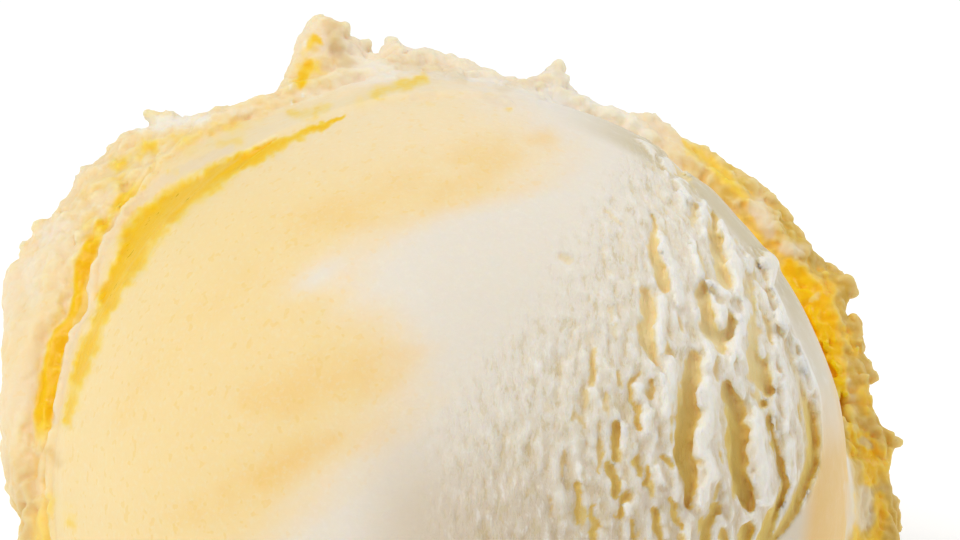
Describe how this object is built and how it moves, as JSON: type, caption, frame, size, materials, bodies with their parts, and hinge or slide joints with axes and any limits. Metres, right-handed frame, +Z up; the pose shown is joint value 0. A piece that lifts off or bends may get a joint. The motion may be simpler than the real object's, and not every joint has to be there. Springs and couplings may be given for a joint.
{
  "type": "ice cream scoop",
  "caption": "Scoop of two-tone ice cream: a smooth dome, torn and pitted on one side, inside a ragged collar, resting on a flat patch.",
  "frame": {"origin": "middle of the underside: the centre of the bounding box in X and Y, at the level the scoop rests on", "axes": "+Z up from the resting surface, +X along the longest side, to the right as the dome is seen, -Y to the front, where the dome faces"},
  "size_m": [0.0724, 0.061, 0.055],
  "materials": {
    "ice_cream": "ice cream, off-white marbled with pale yellow, matt to satin, slightly translucent"
  },
  "bodies": {
    "root": {"scoop": "ice_cream"}
  },
  "joints": []
}
